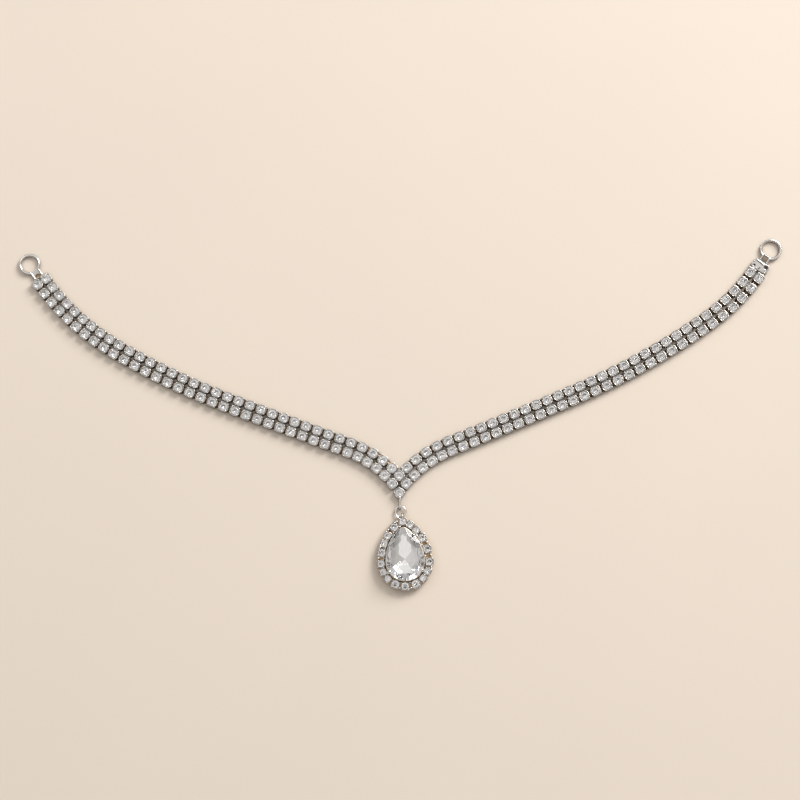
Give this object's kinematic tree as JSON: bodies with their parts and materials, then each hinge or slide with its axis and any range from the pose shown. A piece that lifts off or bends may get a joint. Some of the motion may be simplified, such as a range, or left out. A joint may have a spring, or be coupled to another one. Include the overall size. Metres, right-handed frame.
{
  "type": "maang tikka forehead band",
  "caption": "Shallow-V double-row forehead band of round stones in claw cups, with a pear-shaped halo drop on a jump ring at the V and a fastening ring at each end.",
  "frame": {"origin": "on the surface it lies on, below the middle of the whole outline", "axes": "+X along the band towards the wearer's left, +Y from the drop up to the arms, +Z out of the face of the stones"},
  "size_m": [0.2316, 0.1066, 0.0056],
  "materials": {
    "plated_metal": "bright silver-coloured plating on brass",
    "crystal": "clear faceted glass with a foiled back"
  },
  "bodies": {
    "root": {"left_upper_row": "plated_metal", "left_lower_row": "plated_metal", "right_upper_row": "plated_metal", "right_lower_row": "plated_metal", "centre_setting": "plated_metal", "jump_ring": "plated_metal", "drop_frame": "plated_metal", "pear_stone": "crystal", "left_end_loop": "plated_metal", "right_end_bar": "plated_metal", "right_end_loop": "plated_metal"}
  },
  "joints": []
}
